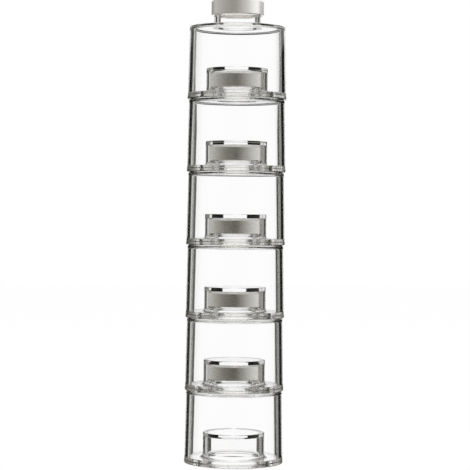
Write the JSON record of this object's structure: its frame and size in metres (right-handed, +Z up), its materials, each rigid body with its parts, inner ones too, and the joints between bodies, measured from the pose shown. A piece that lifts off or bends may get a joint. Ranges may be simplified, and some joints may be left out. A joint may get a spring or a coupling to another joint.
{
  "type": "stacking spice jar tower",
  "caption": "Column of clear cylindrical spice jars with brushed metal screw caps, each cap nested in a pocket in the base of the jar above.",
  "frame": {"origin": "centre of the lowest jar's underside, on the surface that the tower stands on", "axes": "+Z up along the common axis of the jars; X and Y are free, because the tower is round"},
  "size_m": [0.0654, 0.0654, 0.3052],
  "materials": {
    "clear_plastic": "clear, polished",
    "brushed_cap": "brushed round the axis",
    "cap_plastic": "matte, off-white",
    "seal_disc": "soft, pale"
  },
  "bodies": {
    "jar_1": {"jar_1_body": "clear_plastic", "jar_1_base": "clear_plastic"},
    "seal_1": {"jar_1_seal": "seal_disc"},
    "cap_1": {"jar_1_cap_insert": "cap_plastic", "jar_1_cap_shell": "brushed_cap"},
    "jar_2": {"jar_2_body": "clear_plastic", "jar_2_base": "clear_plastic"},
    "seal_2": {"jar_2_seal": "seal_disc"},
    "cap_2": {"jar_2_cap_insert": "cap_plastic", "jar_2_cap_shell": "brushed_cap"},
    "jar_3": {"jar_3_body": "clear_plastic", "jar_3_base": "clear_plastic"},
    "seal_3": {"jar_3_seal": "seal_disc"},
    "cap_3": {"jar_3_cap_insert": "cap_plastic", "jar_3_cap_shell": "brushed_cap"},
    "jar_4": {"jar_4_body": "clear_plastic", "jar_4_base": "clear_plastic"},
    "seal_4": {"jar_4_seal": "seal_disc"},
    "cap_4": {"jar_4_cap_insert": "cap_plastic", "jar_4_cap_shell": "brushed_cap"},
    "jar_5": {"jar_5_body": "clear_plastic", "jar_5_base": "clear_plastic"},
    "seal_5": {"jar_5_seal": "seal_disc"},
    "cap_5": {"jar_5_cap_insert": "cap_plastic", "jar_5_cap_shell": "brushed_cap"},
    "jar_6": {"jar_6_body": "clear_plastic", "jar_6_base": "clear_plastic"},
    "seal_6": {"jar_6_seal": "seal_disc"},
    "cap_6": {"jar_6_cap_insert": "cap_plastic", "jar_6_cap_shell": "brushed_cap"}
  },
  "joints": [
    {"name": "cap_1_rise", "type": "slide", "parent": "jar_1", "child": "seal_1", "axis": [0, 0, 1], "range_m": [0, 0.0038]},
    {"name": "cap_1_turn", "type": "hinge", "parent": "seal_1", "child": "cap_1", "pos_m": [0, 0, 0.06], "axis": [0, 0, 1], "range_deg": [0, 450]},
    {"name": "jar_2_lift", "type": "slide", "parent": "cap_1", "child": "jar_2", "axis": [0, 0, 1], "range_m": [0, 0.03]},
    {"name": "cap_2_rise", "type": "slide", "parent": "jar_2", "child": "seal_2", "axis": [0, 0, 1], "range_m": [0, 0.0038]},
    {"name": "cap_2_turn", "type": "hinge", "parent": "seal_2", "child": "cap_2", "pos_m": [0, 0, 0.108], "axis": [0, 0, 1], "range_deg": [0, 450]},
    {"name": "jar_3_lift", "type": "slide", "parent": "cap_2", "child": "jar_3", "axis": [0, 0, 1], "range_m": [0, 0.03]},
    {"name": "cap_3_rise", "type": "slide", "parent": "jar_3", "child": "seal_3", "axis": [0, 0, 1], "range_m": [0, 0.0038]},
    {"name": "cap_3_turn", "type": "hinge", "parent": "seal_3", "child": "cap_3", "pos_m": [0, 0, 0.156], "axis": [0, 0, 1], "range_deg": [0, 450]},
    {"name": "jar_4_lift", "type": "slide", "parent": "cap_3", "child": "jar_4", "axis": [0, 0, 1], "range_m": [0, 0.03]},
    {"name": "cap_4_rise", "type": "slide", "parent": "jar_4", "child": "seal_4", "axis": [0, 0, 1], "range_m": [0, 0.0038]},
    {"name": "cap_4_turn", "type": "hinge", "parent": "seal_4", "child": "cap_4", "pos_m": [0, 0, 0.204], "axis": [0, 0, 1], "range_deg": [0, 450]},
    {"name": "jar_5_lift", "type": "slide", "parent": "cap_4", "child": "jar_5", "axis": [0, 0, 1], "range_m": [0, 0.03]},
    {"name": "cap_5_rise", "type": "slide", "parent": "jar_5", "child": "seal_5", "axis": [0, 0, 1], "range_m": [0, 0.0038]},
    {"name": "cap_5_turn", "type": "hinge", "parent": "seal_5", "child": "cap_5", "pos_m": [0, 0, 0.252], "axis": [0, 0, 1], "range_deg": [0, 450]},
    {"name": "jar_6_lift", "type": "slide", "parent": "cap_5", "child": "jar_6", "axis": [0, 0, 1], "range_m": [0, 0.03]},
    {"name": "cap_6_rise", "type": "slide", "parent": "jar_6", "child": "seal_6", "axis": [0, 0, 1], "range_m": [0, 0.0038]},
    {"name": "cap_6_turn", "type": "hinge", "parent": "seal_6", "child": "cap_6", "pos_m": [0, 0, 0.3], "axis": [0, 0, 1], "range_deg": [0, 450]}
  ],
  "couplings": [
    {"joint": "cap_1_rise", "follows": "cap_1_turn", "m_per_rad": 0.00047746},
    {"joint": "cap_2_rise", "follows": "cap_2_turn", "m_per_rad": 0.00047746},
    {"joint": "cap_3_rise", "follows": "cap_3_turn", "m_per_rad": 0.00047746},
    {"joint": "cap_4_rise", "follows": "cap_4_turn", "m_per_rad": 0.00047746},
    {"joint": "cap_5_rise", "follows": "cap_5_turn", "m_per_rad": 0.00047746},
    {"joint": "cap_6_rise", "follows": "cap_6_turn", "m_per_rad": 0.00047746}
  ]
}
